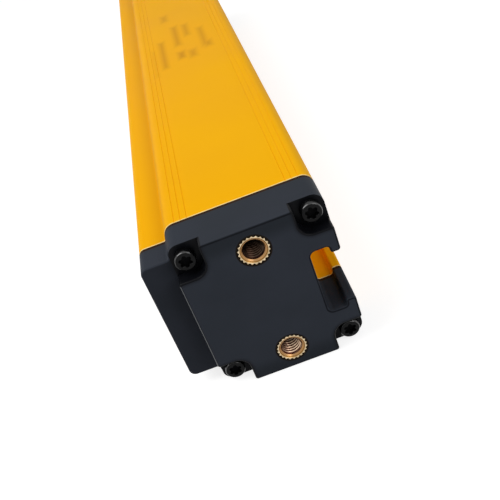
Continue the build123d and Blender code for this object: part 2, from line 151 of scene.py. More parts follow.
def ramp(value, start, end, top=1.0):
    """A mask that goes smoothly from nothing at the start to the top value at the end."""
    span = {"Value": value, "From Min": start, "From Max": end, "To Max": top}
    return added(value.id_data, "ShaderNodeMapRange", span, interpolation_type="SMOOTHSTEP")[0]


def blend(mask, low, high):
    """A colour or a number that goes from low to high with the mask."""
    if isinstance(low, float):
        return added(mask.id_data, "ShaderNodeMapRange", {"Value": mask, "To Min": low, "To Max": high})[0]
    return added(mask.id_data, "ShaderNodeMix", {"Factor": mask, 6: low, 7: high}, data_type="RGBA")[0]


def new_tree(kind, name, **inputs):
    """A tree with named inputs of each kind, and those inputs as sockets."""
    tree = bpy.data.node_groups.new(name, kind + "NodeTree")
    for content, labels in inputs.items():
        for label in labels:
            tree.interface.new_socket(label, in_out="INPUT", socket_type="NodeSocket" + content)
    return tree, tree.nodes.new("NodeGroupInput").outputs


def put_out(tree, outputs, kind="Float"):
    """The outputs of a tree, by name."""
    for label in outputs:
        tree.interface.new_socket(label, in_out="OUTPUT", socket_type="NodeSocket" + kind)
    added(tree, "NodeGroupOutput", outputs)
    print("nodes in", tree.name + ":", len(tree.nodes))


print("tree helpers ready")

# %% [markdown]
# ## Floor, background and lamps
#
# The bar lies on a white sweep in soft light. A floor lit to pure white would also throw too
# much light on the object, so the floor and the world show white only where they are seen
# directly, in a reflection or through the window. Part of the floor's own shading is kept,
# and with it the object's shadow.

# %% A mask that is 1 where something is seen rather than lit
floor_white, floor_seen_shade, floor_glow = 0.80, 0.40, 0.80
world_light = 0.37


def seen_mask(tree):
    """Light Path: a camera, glossy or transmission ray gives 1, and a lighting ray gives 0."""
    rays = tree.nodes.new("ShaderNodeLightPath").outputs
    return most(most(rays["Is Camera Ray"], rays["Is Glossy Ray"]), rays["Is Transmission Ray"])


world = bpy.data.worlds.new("white_room")
bpy.context.scene.world = world
world.use_nodes = True
background = world.node_tree.nodes["Background"]
background.inputs["Color"].default_value = (1, 1, 1, 1)
level = blend(seen_mask(world.node_tree), world_light, 1.0)
world.node_tree.links.new(level, background.inputs["Strength"])
print("world ready")

# %% Floor
half_floor = 3.0


def bare_material(name):
    """A material with an empty tree."""
    finish = bpy.data.materials.new(name)
    finish.use_nodes = True
    finish.node_tree.nodes.clear()
    return finish


floor_mesh = bpy.data.meshes.new("floor")
corners = [(x * half_floor, y * half_floor, 0) for x, y in ((-1, -1), (1, -1), (1, 1), (-1, 1))]
floor_mesh.from_pydata(corners, [], [(0, 1, 2, 3)])
floor = shown("floor", floor_mesh)

floor_finish = bare_material("floor_white")
tree = floor_finish.node_tree
seen = seen_mask(tree)
shaded = added(tree, "ShaderNodeBsdfDiffuse", {"Color": blend(seen, floor_white, floor_seen_shade)})[0]
glow = added(tree, "ShaderNodeEmission", {"Strength": blend(seen, 0.0, floor_glow)})[0]
both = added(tree, "ShaderNodeAddShader", {0: shaded, 1: glow})[0]
added(tree, "ShaderNodeOutputMaterial", {"Surface": both})
floor_mesh.materials.append(floor_finish)
print("floor ready")

# %% Lamps: one wide soft lamp above, one weaker from behind the camera
lamps = {"lamp_above": ((-300, -120, 540), 520, 2.4), "lamp_front": ((420, -580, 350), 400, 1.25)}
for name, (place, size, power) in lamps.items():
    data = bpy.data.lights.new(name, "AREA")
    data.shape = "DISK"
    data.size = size * MM
    data.energy = power
    look_from(shown(name, data), Vector(place) * MM)
print("lamps:", len(lamps))

# %% [markdown]
# ## Finishes
#
# Nearly every surface of the bar varies at two scales: a fine grain, such as the orange peel of
# powder paint or the spark-eroded skin of a moulding, and broad faint patches of uneven gloss.
# One node group makes both from noise on Object coordinates, and each material sets its own
# sizes. The shader stays in the material, where its fixed values can be read.

# %% The grain group
grain_detail, patch_detail = 3.0, 2.0
patch_low, patch_high = 0.3, 0.7


def millimetres(tree):
    """Object coordinates in millimetres."""
    place = tree.nodes.new("ShaderNodeTexCoord").outputs["Object"]
    return added(tree, "ShaderNodeVectorMath", {0: place, "Scale": 1 / MM}, operation="SCALE")[0]


def coordinates(tree):
    """The x, y and z of Object coordinates, in millimetres."""
    return added(tree, "ShaderNodeSeparateXYZ", {0: millimetres(tree)})


def noise_on(place, blob_size, detail):
    """Noise whose blobs are as wide as a size in millimetres."""
    inputs = {"Vector": place, "Scale": over(1.0, blob_size), "Detail": detail}
    return added(place.id_data, "ShaderNodeTexNoise", inputs)[0]


grain_group, sizes = new_tree("Shader", "surface_grain", Float=["Grain Size", "Patch Size"])
place = millimetres(grain_group)
patches = noise_on(place, sizes["Patch Size"], patch_detail)
put_out(grain_group, {
    "Height": noise_on(place, sizes["Grain Size"], grain_detail),
    "Patches": added(grain_group, "ShaderNodeMapRange", {
        "Value": patches, "From Min": patch_low, "From Max": patch_high})[0]})

# %% [markdown]
# Wear, dust and oil sit in corners, round holes and beside joints. The bar's two halves and its
# two ends are alike, so a few distances find any such place. A second node group gives them, and
# each material turns them into masks of its own.

# %% The group that tells the place on the bar
finishes = {}
top_of_bar = box_of("housing_profile")[1].z
bar_middle = top_of_bar / 2
near_face, far_face = box_of("end_cap_near")[0].y, box_of("end_cap_far")[1].y
bar_centre, half_bar = (near_face + far_face) / 2, (far_face - near_face) / 2
place_group, axis = new_tree("Shader", "place_on_bar", Float=["Axis X", "Axis Height"])
x, y, z = coordinates(place_group)
across, from_middle = minus(x, axis["Axis X"]), size_of(minus(z, bar_middle))
put_out(place_group, {
    "Across": across, "From Centre": size_of(minus(y, bar_centre)), "From Middle": from_middle,
    "From Axis": slant(across, minus(from_middle, axis["Axis Height"])), "Upper": above(z, bar_middle)})


def set_in(slot, group, values):
    """A node group set into a finish with its own values. Gives the group's outputs by name."""
    outputs = added(finishes[slot].node_tree, "ShaderNodeGroup", values, node_tree=group)
    return {socket.name: socket for socket in outputs}


def find_place(slot, axis_x=0.0, axis_height=0.0):
    """The distances from the place group, for one finish."""
    return set_in(slot, place_group, {"Axis X": axis_x, "Axis Height": axis_height})


print("half of the bar, mm:", round(half_bar, 2))

# %% [markdown]
# A finish is then a row in a table: two near colours that the patches blend, two near
# roughnesses, the size and depth of the grain, the size of the patches, and a few fixed values
# for the shader.

# %% A finish from the grain group
def linear(*colour):
    """A colour as a picture editor shows it, turned into Blender's linear values."""
    shares = [value / 255 for value in colour]
    return *[s / 12.92 if s <= 0.04045 else ((s + 0.055) / 1.055) ** 2.4 for s in shares], 1.0


def make_finishes(*rows):
    """Materials whose colour, gloss and bumps come from the grain group."""
    for slot, name, fixed, dark, light, rough, grain_size, grain_depth, patch_size in rows:
        finish = finishes[slot] = bare_material(name)
        tree = finish.node_tree
        grain = set_in(slot, grain_group, {"Grain Size": grain_size, "Patch Size": patch_size})
        bump = added(tree, "ShaderNodeBump", {"Distance": grain_depth * MM, "Height": grain["Height"]})[0]
        shader = added(tree, "ShaderNodeBsdfPrincipled", {
            "Base Color": blend(grain["Patches"], linear(*dark), linear(*light)),
            "Roughness": blend(grain["Patches"], *rough), "Normal": bump, **fixed}, name="shader")[0]
        added(tree, "ShaderNodeOutputMaterial", {"Surface": shader})


mirror, metal = "Specular IOR Level", {"Metallic": 1.0}
make_finishes(
    ("housing_paint", "yellow_powder_paint", {mirror: 0.02},
     (242, 173, 3), (245, 178, 6), (0.42, 0.5), 0.7, 0.012, 45.0),
    ("cap_plastic", "dark_moulded_plastic", {mirror: 0.035},
     (43, 47, 54), (48, 52, 60), (0.46, 0.54), 0.35, 0.02, 18.0),
    ("black_rubber", "black_rubber", {mirror: 0.3},
     (22, 22, 22), (30, 29, 28), (0.7, 0.8), 0.5, 0.02, 9.0),
    ("black_steel", "blackened_steel", {mirror: 0.1, "Coat Roughness": 0.12, "Coat IOR": 1.9},
     (5, 5, 6), (9, 9, 10), (0.2, 0.3), 0.25, 0.006, 2.5),
    ("insert_brass", "turned_brass", metal,
     (178, 156, 120), (222, 202, 168), (0.34, 0.46), 0.3, 0.006, 1.2),
    ("nickel_plate", "nickel_plate", metal,
     (150, 147, 140), (172, 168, 160), (0.2, 0.32), 0.4, 0.004, 6.0),
    ("gold_pins", "gold_plate", metal,
     (222, 176, 88), (236, 194, 110), (0.18, 0.26), 0.3, 0.003, 2.0),
    ("black_plastic", "black_plastic", {mirror: 0.4},
     (22, 22, 24), (28, 28, 30), (0.42, 0.52), 0.3, 0.01, 8.0),
    ("board_resin", "green_board", {"Coat Weight": 0.4, "Coat Roughness": 0.2},
     (16, 84, 52), (24, 98, 60), (0.3, 0.42), 0.6, 0.01, 14.0),
    ("chip_resin", "chip_resin", {},
     (30, 31, 33), (38, 39, 41), (0.5, 0.6), 0.2, 0.01, 4.0),
    ("can_aluminium", "can_aluminium", metal,
     (196, 198, 200), (212, 213, 214), (0.22, 0.32), 0.3, 0.004, 3.0),
    ("white_plastic", "white_plastic", {},
     (226, 222, 208), (234, 231, 220), (0.4, 0.5), 0.3, 0.008, 6.0),
    ("ribbon_film", "ribbon_film", {},
     (176, 110, 34), (192, 124, 44), (0.24, 0.34), 0.5, 0.004, 5.0))
print("finishes:", ", ".join(sorted(finishes)))

# %% [markdown]
# Clear parts let light through. The window is a tinted acrylic strip, the lenses are clear, and
# each diode sits in a small drop of resin. The transmission is a plain value on the shader.

# %% Clear finishes
make_finishes(
    ("window_acrylic", "tinted_acrylic", {"Transmission Weight": 1.0, "IOR": 1.49},
     (178, 28, 26), (190, 34, 31), (0.02, 0.05), 1.2, 0.002, 30.0),
    ("clear_plastic", "clear_acrylic", {"Transmission Weight": 0.92, "IOR": 1.49},
     (226, 232, 234), (238, 242, 243), (0.05, 0.1), 0.8, 0.002, 12.0),
    ("diode_resin", "diode_resin", {"Transmission Weight": 0.5, "IOR": 1.5},
     (206, 198, 176), (222, 214, 194), (0.12, 0.2), 0.4, 0.003, 2.0))
print("clear finishes ready")

# %% [markdown]
# Some pieces show a second skin: painted shade inside a pocket and in a screw's recess, and a
# painted highlight on a cut edge. These finishes belong to no slot of the frame. The screws
# are rubbed bright round their rims: an attribute of the mesh says where, and gives the weight
# of a glossy coat.

# %% Finishes for parts of a piece
make_finishes(
    # Painted shade: a near-black finish for the faces inside the caps' screw pockets.
    ("pocket", "smooth_dark_plastic", {mirror: 0.06},
     (9, 10, 13), (13, 14, 18), (0.3, 0.4), 0.35, 0.006, 9.0),
    # Painted shade: a near-black lining for the screws' recesses.
    ("recess", "oily_recess", {mirror: 0.05},
     (3, 3, 4), (6, 6, 7), (0.6, 0.7), 0.3, 0.004, 2.0),
    # Painted shade: a darker skin for the face of the shelf, beside the block.
    ("fine_skin", "finer_dark_skin", {mirror: 0.02},
     (38, 41, 47), (42, 45, 52), (0.4, 0.5), 0.3, 0.01, 12.0),
    # Painted dark reflection: a darker finish for the round at the cap's outer face.
    ("round_dark_reflection", "dark_round_of_moulding", {mirror: 0.02},
     (20, 22, 26), (26, 28, 33), (0.4, 0.5), 0.3, 0.006, 6.0),
    ("light_edge", "polished_plastic_edge", {mirror: 0.35},
     (44, 47, 52), (52, 55, 60), (0.22, 0.34), 0.3, 0.004, 6.0),
    ("joint", "dark_joint_rubber", {mirror: 0.1},
     (14, 8, 5), (24, 14, 8), (0.7, 0.8), 0.4, 0.01, 5.0),
    # Oiled brass for the threads. Painted shade for the bores is laid over it further on.
    ("thread", "oiled_brass_thread", metal,
     (222, 190, 158), (236, 206, 176), (0.28, 0.4), 0.2, 0.004, 1.0),
    # Painted highlight: a pale yellow for the housing's cut edge.
    ("edge_highlight", "thin_paint_on_cut_edge", {mirror: 0.3},
     (252, 214, 128), (255, 226, 156), (0.35, 0.5), 0.3, 0.01, 1.5))
tree = finishes["black_steel"].node_tree
shine = tree.nodes.new("ShaderNodeAttribute")
shine.attribute_name = "shine"
tree.links.new(shine.outputs["Fac"], tree.nodes["shader"].inputs["Coat Weight"])
print("finishes in all:", len(finishes))

# %% [markdown]
# The upper side of the bar has some faint marks in a darker amber, softened by years of wiping.
# A few soft bars give that tone. One node group gives the mask of one bar from its place in
# millimetres, and the paint takes the strongest of them all.

# %% The mask of one soft bar
softness, end_softness, skin_depth = 1.9, 3.6, 0.05
bar_group, bar = new_tree(
    "Shader", "soft_bar", Float=["Across", "Start", "End", "Half Width", "Strength"])
x, y, z = coordinates(bar_group)
off_line = minus(size_of(minus(x, bar["Across"])), bar["Half Width"])
off_ends = most(minus(bar["Start"], y), minus(y, bar["End"]))
off_bar = most(off_line, times(off_ends, softness / end_softness))
put_out(bar_group, {
    "Mask": times(ramp(off_bar, softness, -softness), above(z, top_of_bar - skin_depth), bar["Strength"])})

# %% Lay the bars over the paint
paint = "housing_paint"
paint_start = box_of("housing_profile")[0].y
soft_bars = [
    (-5.9, 118, 151, 0.9, 0.6),
    (-9.7, 112, 143, 0.3, 0.3),
    (1.2, 140, 167, 1.1, 0.55),
    (6.0, 149, 165, 1.0, 0.5),
    (11.8, 128, 153, 1.0, 0.5),
    (13.0, 126, 132, 1.2, 0.55),
    (1.4, 123, 130, 1.1, 0.7),
    (5.9, 120, 128, 1.3, 0.5),
    (-2.0, 180, 189, 1.3, 0.45),
]


def lay_over(slot, *layers):
    """Further colours over a finish, each where its mask is 1."""
    tree = finishes[slot].node_tree
    base = tree.nodes["shader"].inputs["Base Color"]
    for mask, colour in layers:
        tree.links.new(blend(mask, base.links[0].from_socket, linear(*colour)), base)


strongest = 0.0
for across, start, end, half_width, strength in soft_bars:
    mask = set_in(paint, bar_group, {
        "Across": across, "Start": paint_start + start, "End": paint_start + end,
        "Half Width": half_width, "Strength": strength})["Mask"]
    strongest = most(mask, strongest)
lay_over(paint, (strongest, (190, 118, 0)))
print("soft bars:", len(soft_bars))

# %% [markdown]
# Painted shade makes the paint a little darker in the inner corner of the step. The mask fades
# out over a few millimetres on both sides of the corner.

# %% Painted shade in the corner of the step
step_side = -16.6
corner_shade_width, corner_shade_full, corner_shade_end, bright_side = 6.0, 0.5, 0.8, 2.0
unshaded_edge, fully_shaded_edge = 0.6, 1.6
place = find_place(paint)
# Painted shade: a darker amber where the inner corner of the step is shaded.
painted_corner_shade = times(
    ramp(place["Across"], step_side - corner_shade_width, step_side - corner_shade_full),
    ramp(place["Across"], step_side + bright_side, step_side + corner_shade_end),
    ramp(place["From Middle"], bar_middle - unshaded_edge, bar_middle - fully_shaded_edge))
lay_over(paint, (painted_corner_shade, (229, 163, 3)))
print("dust along the step, mm wide:", corner_shade_width)

# %% [markdown]
# Thread cut in brass keeps dark oil in its grooves, while the crests are rubbed bright. The
# distance from the insert's axis tells one from the other. Painted shade darkens the bore further
# in, on one side and in the upper inserts, and the cone at the mouth is left in a darker gold.

# %% Oil in the grooves of the threads, and painted shade in the bores
low, high = box_of("threaded_insert_near_1")
axis_x, axis_height = (low.x + high.x) / 2, abs((low.z + high.z) / 2 - bar_middle)
groove_start, groove_end, mouth_depth = 2.6, 2.8, 0.6
side_shade_start, side_shade_end, depth_shade_start, depth_shade_end = 0.8, -2.4, 2.0, 8.0
cone_tone, side_shade_tone, depth_shade_tone, upper_shade_tone = 0.85, 0.7, 0.85, 0.93
place = find_place("thread", axis_x, axis_height)
in_bore = below(place["From Centre"], half_bar - mouth_depth)
# Painted shade: the bore grows darker further in.
painted_depth_shade = ramp(place["From Centre"], half_bar - depth_shade_start, half_bar - depth_shade_end, depth_shade_tone)
lay_over(
    "thread", (times(ramp(place["From Axis"], groove_start, groove_end), in_bore), (58, 22, 14)),
    (times(minus(1.0, in_bore), cone_tone), (150, 106, 52)),
    # Painted shade on one side of the bore, then painted shade further in and in the upper inserts.
    (times(ramp(place["Across"], side_shade_start, side_shade_end, side_shade_tone), in_bore), (64, 26, 18)),
    (most(painted_depth_shade, times(place["Upper"], in_bore, upper_shade_tone)), (26, 13, 8)))
print("axis of the inserts, mm from the middle:", round(axis_x, 2), round(axis_height, 2))

# %% Darker mouth in the face of the inserts
mouth_in, mouth_out, mouth_fade = 3.3, 3.62, 0.1
away = find_place("insert_brass", axis_x, axis_height)["From Axis"]
in_mouth = times(ramp(away, mouth_out + mouth_fade, mouth_out - mouth_fade), above(away, mouth_in))
lay_over("insert_brass", (in_mouth, (132, 94, 42)))
print("mouth of an insert, mm:", mouth_in, "to", mouth_out)

# %% Dark grooves in the connector's thread
low, high = box_of("connector_shell")
groove_root, groove_crest, thread_reach = 5.55, 5.95, 9.2
place = find_place("nickel_plate", (low.x + high.x) / 2)
in_thread = times(
    ramp(place["From Axis"], groove_crest, groove_root),
    above(place["From Centre"], high.y - bar_centre - thread_reach))
lay_over("nickel_plate", (in_thread, (64, 61, 56)))
print("connector thread, mm long:", thread_reach)

# %% [markdown]
# The caps' skin is not even either. On the end face painted shade darkens it towards the long
# edges and round the screw pockets, the plastic is dark brown in a narrow ring round each
# insert, and a narrow band of painted brown shade follows the joint with the housing.

# %% Painted shade on the caps' rim, round the pockets and along the joint; a dark ring round each insert
cap_depth, face_depth = 15.2, 0.3
rim_shade_width, rim_shade_end = 6.5, 2.0
ring_out, ring_in = 4.8, 4.5
joint_shade_width, joint_shade_fade = 0.85, 0.15
pocket_rounds = [(-11.7, 18.55, 1.0), (20.2, 18.95, -1.0)]
pocket_radius, pocket_shade, pocket_rim = 3.7, 1.6, 0.2
place = find_place("cap_plastic", axis_x, axis_height)
on_face = above(place["From Centre"], half_bar - face_depth)
# Painted shade: the end face is darker towards its long edges.
painted_rim_shade = times(ramp(place["From Middle"], bar_middle - rim_shade_width, bar_middle - rim_shade_end), on_face)
# Painted shade round each screw pocket, fading out over a few millimetres from the pocket's round.
shades = []
for round_x, round_z, side in pocket_rounds:
    aside = times(minus(place["Across"], round_x - axis_x), side)
    reach = slant(most(aside, 0.0), most(minus(round_z, place["From Middle"]), 0.0))
    shades.append(ramp(reach, pocket_radius + pocket_shade, pocket_radius - pocket_rim))
# Painted shade: a narrow band of dark brown on the cap's skin beside its joint with the housing.
joint = half_bar - cap_depth + joint_shade_width
lay_over(
    "cap_plastic", (painted_rim_shade, (37, 41, 47)), (times(most(*shades), on_face), (25, 27, 32)),
    # A narrow ring of dark brown on the plastic round each insert.
    (ramp(place["From Axis"], ring_out, ring_in), (26, 19, 12)),
    (ramp(place["From Centre"], joint, joint - joint_shade_fade), (42, 25, 6)))
print("worn rim, mm wide:", rim_shade_width)

# %% [markdown]
# Each node of the frame belongs to a material slot, such as housing_paint. The record says
# which, so one loop gives every solid its finish. Pieces made later take theirs the same way.

# %% Dress every node that stays
slot_of = {part["node"]: part["material_slot"] for part in frame["record"]["subparts"]}
for name, solid in nodes.items():
    solid.data.materials.clear()
    solid.data.materials.append(finishes[slot_of[name]])
print("dressed nodes:", len(nodes))

# %% [markdown]
# ## Making and finishing a mesh
#
# Small helpers serve every piece. They turn its faces outwards, keep each edge sharp that bends
# more than a fillet step does, and say which node it stands for and whose finish it takes.

# %% Helpers for new pieces
sharp_angle = radians(30)
doubled = 0.0005


def closed(shape):
    """A shape with doubled points made one and its faces turned outwards."""
    bmesh.ops.remove_doubles(shape, verts=shape.verts, dist=doubled * MM)
    bmesh.ops.recalc_face_normals(shape, faces=shape.faces)
    return shape


def written(shape, mesh):
    """The mesh with a finished shape in it, smooth but for its sharp edges."""
    shape.to_mesh(mesh)
    shape.free()
    mesh.shade_smooth()
    mesh.set_sharp_from_angle(angle=sharp_angle)
    return mesh


def new_piece(name, points, faces):
    """An object from points in millimetres, with its faces turned outwards."""
    shape = bmesh.new()
    corners = [shape.verts.new(Vector(point) * MM) for point in points]
    for face in faces:
        shape.faces.new([corners[n] for n in face])
    return shown(name, written(closed(shape), bpy.data.meshes.new(name)))


def ring_faces(rings, count):
    """The faces between rings of points, with the last ring joined to the first."""
    faces = []
    for k in range(rings):
        here, there = k * count, (k + 1) % rings * count
        for n in range(count):
            following = (n + 1) % count
            faces.append((here + n, here + following, there + following, there + n))
    return faces


def stands_for(piece, *names, slot=None):
    """The piece takes the place and the finish of these nodes."""
    slot = slot or slot_of[names[0]]
    if not piece.data.materials:
        piece.data.materials.append(finishes[slot])
    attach(piece, "root")
    if names:
        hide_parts(*names)
    print(piece.name, "has", len(piece.data.polygons), "faces")


def even_normals(piece):
    """Weighted normals keep a wide flat face flat beside a narrow round."""
    piece.modifiers.new("normals", "WEIGHTED_NORMAL").keep_sharp = True


print("helpers ready")

# %% [markdown]
# ## Softened copies of the moulded parts
#
# The caps are right in shape, but the mesh of a solid is loose triangles with knife edges. A
# copy is merged, its flat areas are joined again, and a Bevel modifier rounds each sharp edge by
# about a tenth of a millimetre, which catches the light as the edge of a real moulding does.

# %% Softened copy
flat_angle, touching, edge_steps = radians(0.3), 0.001, 2


def softened(node, name, edge):
    """A merged copy of a node, with its sharp edges rounded."""
    shape = bmesh.new()
    shape.from_mesh(nodes[node].data)
    bmesh.ops.remove_doubles(shape, verts=shape.verts, dist=touching * MM)
    bmesh.ops.dissolve_limit(
        shape, angle_limit=flat_angle, verts=shape.verts, edges=shape.edges,
        delimit={"NORMAL"}, use_dissolve_boundaries=False)
    mesh = written(shape, bpy.data.meshes.new(name))
    if "custom_normal" in mesh.attributes:
        mesh.attributes.remove(mesh.attributes["custom_normal"])
    copy = shown(name, mesh)
    bevel = copy.modifiers.new("edges", "BEVEL")
    bevel.width = edge * MM
    bevel.segments = edge_steps
    bevel.limit_method = "ANGLE"
    bevel.angle_limit = sharp_angle
    bevel.miter_outer = "MITER_ARC"
    even_normals(copy)
    return copy


print("copies can be softened")

# %% [markdown]
# ## Housing
#
# The housing is one aluminium section pushed through a die and cut to length: a stepped front,
# a window slot, a T-shaped slot along the back, and three fine lines beside each corner. A
# filled curve with a depth would do, but a pale line of painted highlight runs along the cut
# edge, so the edge round gets rows and a finish of its own. The section is written once
# for its upper half, as corners with radii, and mirrored. The middle plane is z = 0.

# %% The section's corners
low, high = box_of("housing_profile")
top_z, front_x, back_x = (high.z - low.z) / 2, low.x, high.x
line_places = (21.575, 19.825, 18.075, -9.325, -11.075, -12.825)
line_depth, back_round = 0.15, 3.3
ports, port_radius = [(-12.5, 19.35), (21.0, 19.75)], 1.55
arc_step = radians(7)


def arc(centre, radius, start, end):
    """Points of an arc as corners without a radius. The angles are in degrees."""
    steps = max(2, round(abs(radians(end - start)) / arc_step))
    angles = [radians(start + (end - start) * n / steps) for n in range(steps + 1)]
    return [(centre[0] + radius * cos(a), centre[1] + radius * sin(a), 0) for a in angles]


slot_side = [(17.0, 10.05, 1.6), (22.3, 10.05, 1.0), (22.3, 7.9, 0.6), (back_x, 7.9, 0.8),
             (back_x, top_z, back_round)]
window_side = [(step_side, top_z, 3.3), (step_side, 19.15, 0.9), (front_x, 19.15, 2.0)]
lines = []
for x in line_places:
    lines += [(min(x + line_depth, back_x - back_round), top_z, 0), (x, top_z - line_depth, 0),
              (x - line_depth, top_z, 0)]
outside = slot_side + lines + window_side + [(front_x, 14.1, 0.3)]
inside = [(-23.4, 14.1, 0.2), (-23.4, 16.95, 0), (-20.4, 16.95, 0), (-20.4, 14.95, 0),
          (-19.0, 14.95, 0), (-19.0, 16.2, 0), (-9.35, 16.2, 0), (-9.35, 21.25, 0)]
for rail in (-3.0, 0.0):
    inside += [(rail, 21.25, 0), (rail, 19.05, 0), (rail + 1.2, 19.05, 0), (rail + 1.2, 21.25, 0)]
inside += arc(ports[1], 3.15, 151.6, 304.8) + [(22.8, 12.25, 0), (14.8, 12.25, 0)]


def whole(upper_half):
    """The corners of the upper half and their mirror images."""
    return upper_half + [(x, -z, radius) for x, z, radius in reversed(upper_half)]


print("corners in the section:", len(whole(outside + inside)))

# %% Round the corners
def rounded(corners):
    """Points along a closed outline, with an arc in short steps at each corner with a radius."""
    points = []
    for n, (x, z, radius) in enumerate(corners):
        corner = Vector((x, z))
        if not radius:
            points.append(corner)
            continue
        before = (Vector(corners[n - 1][:2]) - corner).normalized()
        after = (Vector(corners[(n + 1) % len(corners)][:2]) - corner).normalized()
        half = before.angle(after) / 2
        centre = corner + (before + after).normalized() * radius / sin(half)
        start = corner + before * radius / tan(half) - centre
        turn = (pi - 2 * half) * (1 if before.cross(after) < 0 else -1)
        steps = max(2, round(abs(turn) / arc_step))
        points += [centre + Matrix.Rotation(turn * k / steps, 2) @ start for k in range(steps + 1)]
    return points


section = [rounded(whole(outside + inside))]
for x, z in ports:
    for side in (1, -1):
        section.append([Vector(point[:2]) for point in arc((x, side * z), port_radius, 360, 0)[:-1]])
print("points in the section:", sum(len(loop) for loop in section))

# %% Lay the section along the bar
edge_round, edge_rows = 0.3, 3
middle_z = (high.z + low.z) / 2


def drawn_in(loop, amount):
    """The loop moved into the metal, which lies on its left, by an amount."""
    moved = []
    for n, point in enumerate(loop):
        one = (point - loop[n - 1]).normalized()
        two = (loop[(n + 1) % len(loop)] - point).normalized()
        one, two = Vector((-one.y, one.x)), Vector((-two.y, two.x))
        moved.append(point + (one + two) / (1 + one.dot(two)) * amount)
    return moved


turns = [radians(90) * k / edge_rows for k in range(edge_rows + 1)]
stations = [(low.y + edge_round * (1 - cos(t)), edge_round * (1 - sin(t))) for t in turns]
stations += [(high.y + low.y - y, amount) for y, amount in reversed(stations)]
shape = bmesh.new()
ends = ([], [])
for loop in section:
    rings = [
        [shape.verts.new(Vector((point.x, y, middle_z + point.y)) * MM) for point in drawn_in(loop, amount)]
        for y, amount in stations]
    for k, (ring, following) in enumerate(zip(rings, rings[1:])):
        for n in range(len(ring)):
            side = shape.faces.new((ring[n - 1], ring[n], following[n], following[n - 1]))
            # Index 1 is the painted highlight on the cut edge, index 0 the paint.
            side.material_index = 0 if k == edge_rows else 1
    for end, ring in zip(ends, (rings[0], rings[-1])):
        end += [shape.edges.get((ring[n - 1], ring[n])) for n in range(len(ring))]
for end in ends:
    for part in bmesh.ops.triangle_fill(shape, edges=end, use_beauty=True)["geom"]:
        if isinstance(part, bmesh.types.BMFace):
            part.material_index = 1
bmesh.ops.recalc_face_normals(shape, faces=shape.faces)
housing = shown("housing", written(shape, bpy.data.meshes.new("housing")))
for finish in ("housing_paint", "edge_highlight"):
    housing.data.materials.append(finishes[finish])
even_normals(housing)
print("housing rows:", len(stations))
stands_for(housing, "housing_profile")

# %% [markdown]
# The flat gaskets between the housing and the caps sit a little inside the outline. A thin bead
# of dark brown rubber reaches from each gasket nearly to the outline and gives a dark line round
# each joint. The bead follows the section's outline, so its points come from the same corners.

# %% Beads of the gaskets
bead_rise, gasket_inset, bead_gap = 0.05, 0.4, 0.02
rim = rounded(whole(slot_side + window_side))
for end in ("near", "far"):
    low, high = box_of(f"end_gasket_{end}")
    start, stop = low.y + bead_gap, high.y - bead_gap
    rows = [(gasket_inset, start), (bead_rise, start), (bead_rise, stop), (gasket_inset, stop)]
    points = [(p.x, y, middle_z + p.y) for amount, y in rows for p in drawn_in(rim, amount)]
    bead = new_piece(f"gasket_bead_{end}", points, ring_faces(len(rows), len(rim)))
    bead.data.materials.append(finishes["joint"])
    stands_for(bead, slot="black_rubber")

# %% [markdown]
# ## End caps
#
# Each cap is a moulding with a thin shelf, a thick block, four screw pockets and two knurled
# seats. The softened copy keeps the shape and rounds its edges. A mould for such a cap is
# eroded to a fine grain on the outside. The pockets and the face of the shelf take painted shade,
# and the round at the outer face a painted dark reflection. The place of a face tells which
# skin it has: pocket, edge of the shelf, edge of the block or shelf.

# %% Caps
pocket_floor, block_side = 10.6, -16.25
pocket_reach, below_floor = 5.6, 0.3
edge_radius, cap_edge = 0.5, 0.14
on_surface, past_bevel, facing_out = 0.001, 0.02, 0.9
for end, outward in (("near", -1), ("far", 1)):
    node = f"end_cap_{end}"
    low, high = box_of(node)
    outer = low.y if outward < 0 else high.y
    cap = softened(node, f"cap_{end}", cap_edge)
    for finish in (slot_of[node], "pocket", "light_edge", "round_dark_reflection", "fine_skin"):
        cap.data.materials.append(finishes[finish])
    for face in cap.data.polygons:
        spot = face.center / MM
        depth = (outer - spot.y) * outward
        near_pocket = any(
            abs(spot.x - x) < pocket_reach and abs(abs(spot.z - middle_z) - z) < pocket_reach
            for x, z in ports)
        # Painted shade: the faces in a screw pocket take the darker pocket finish.
        if near_pocket and on_surface < depth < cap_depth - pocket_floor + below_floor:
            face.material_index = 1
        elif past_bevel < depth < edge_radius and spot.x < block_side + edge_radius:
            face.material_index = 2
        # Painted dark reflection on the round next to the outer face.
        elif on_surface < depth < edge_radius / 3:
            face.material_index = 3
        # Painted shade: the face of the shelf takes the darker shelf finish.
        elif spot.x < block_side and face.normal.y * outward > facing_out:
            face.material_index = 4
    stands_for(cap, node)

# %% [markdown]
# ## Growing parts with Geometry Nodes
#
# Threads, screws and inserts repeat, so they come from two small Geometry Nodes trees. The
# first bends a flat grid round the Y axis and lets a wave of the right pitch move each point in
# and out, which gives a thread as a closed sleeve or a rod. The second sets a finished part on
# every point of a small mesh. With copies made by hand, a change of pitch would mean starting
# again. Each result is turned into a plain mesh at once.

# %% Tree for a thread
closing_rows, on_the_back, back_reach = 4, 1.5, 0.6
flank_start, flank_end = 0.06, 0.44


def end_tree(tree, shape, finish):
    """Realize Instances and Set Material, and then the output."""
    shape = added(tree, "GeometryNodeRealizeInstances", {"Geometry": shape})[0]
    shape = added(tree, "GeometryNodeSetMaterial", {"Geometry": shape, "Material": finish})[0]
    put_out(tree, {"Geometry": shape}, "Geometry")


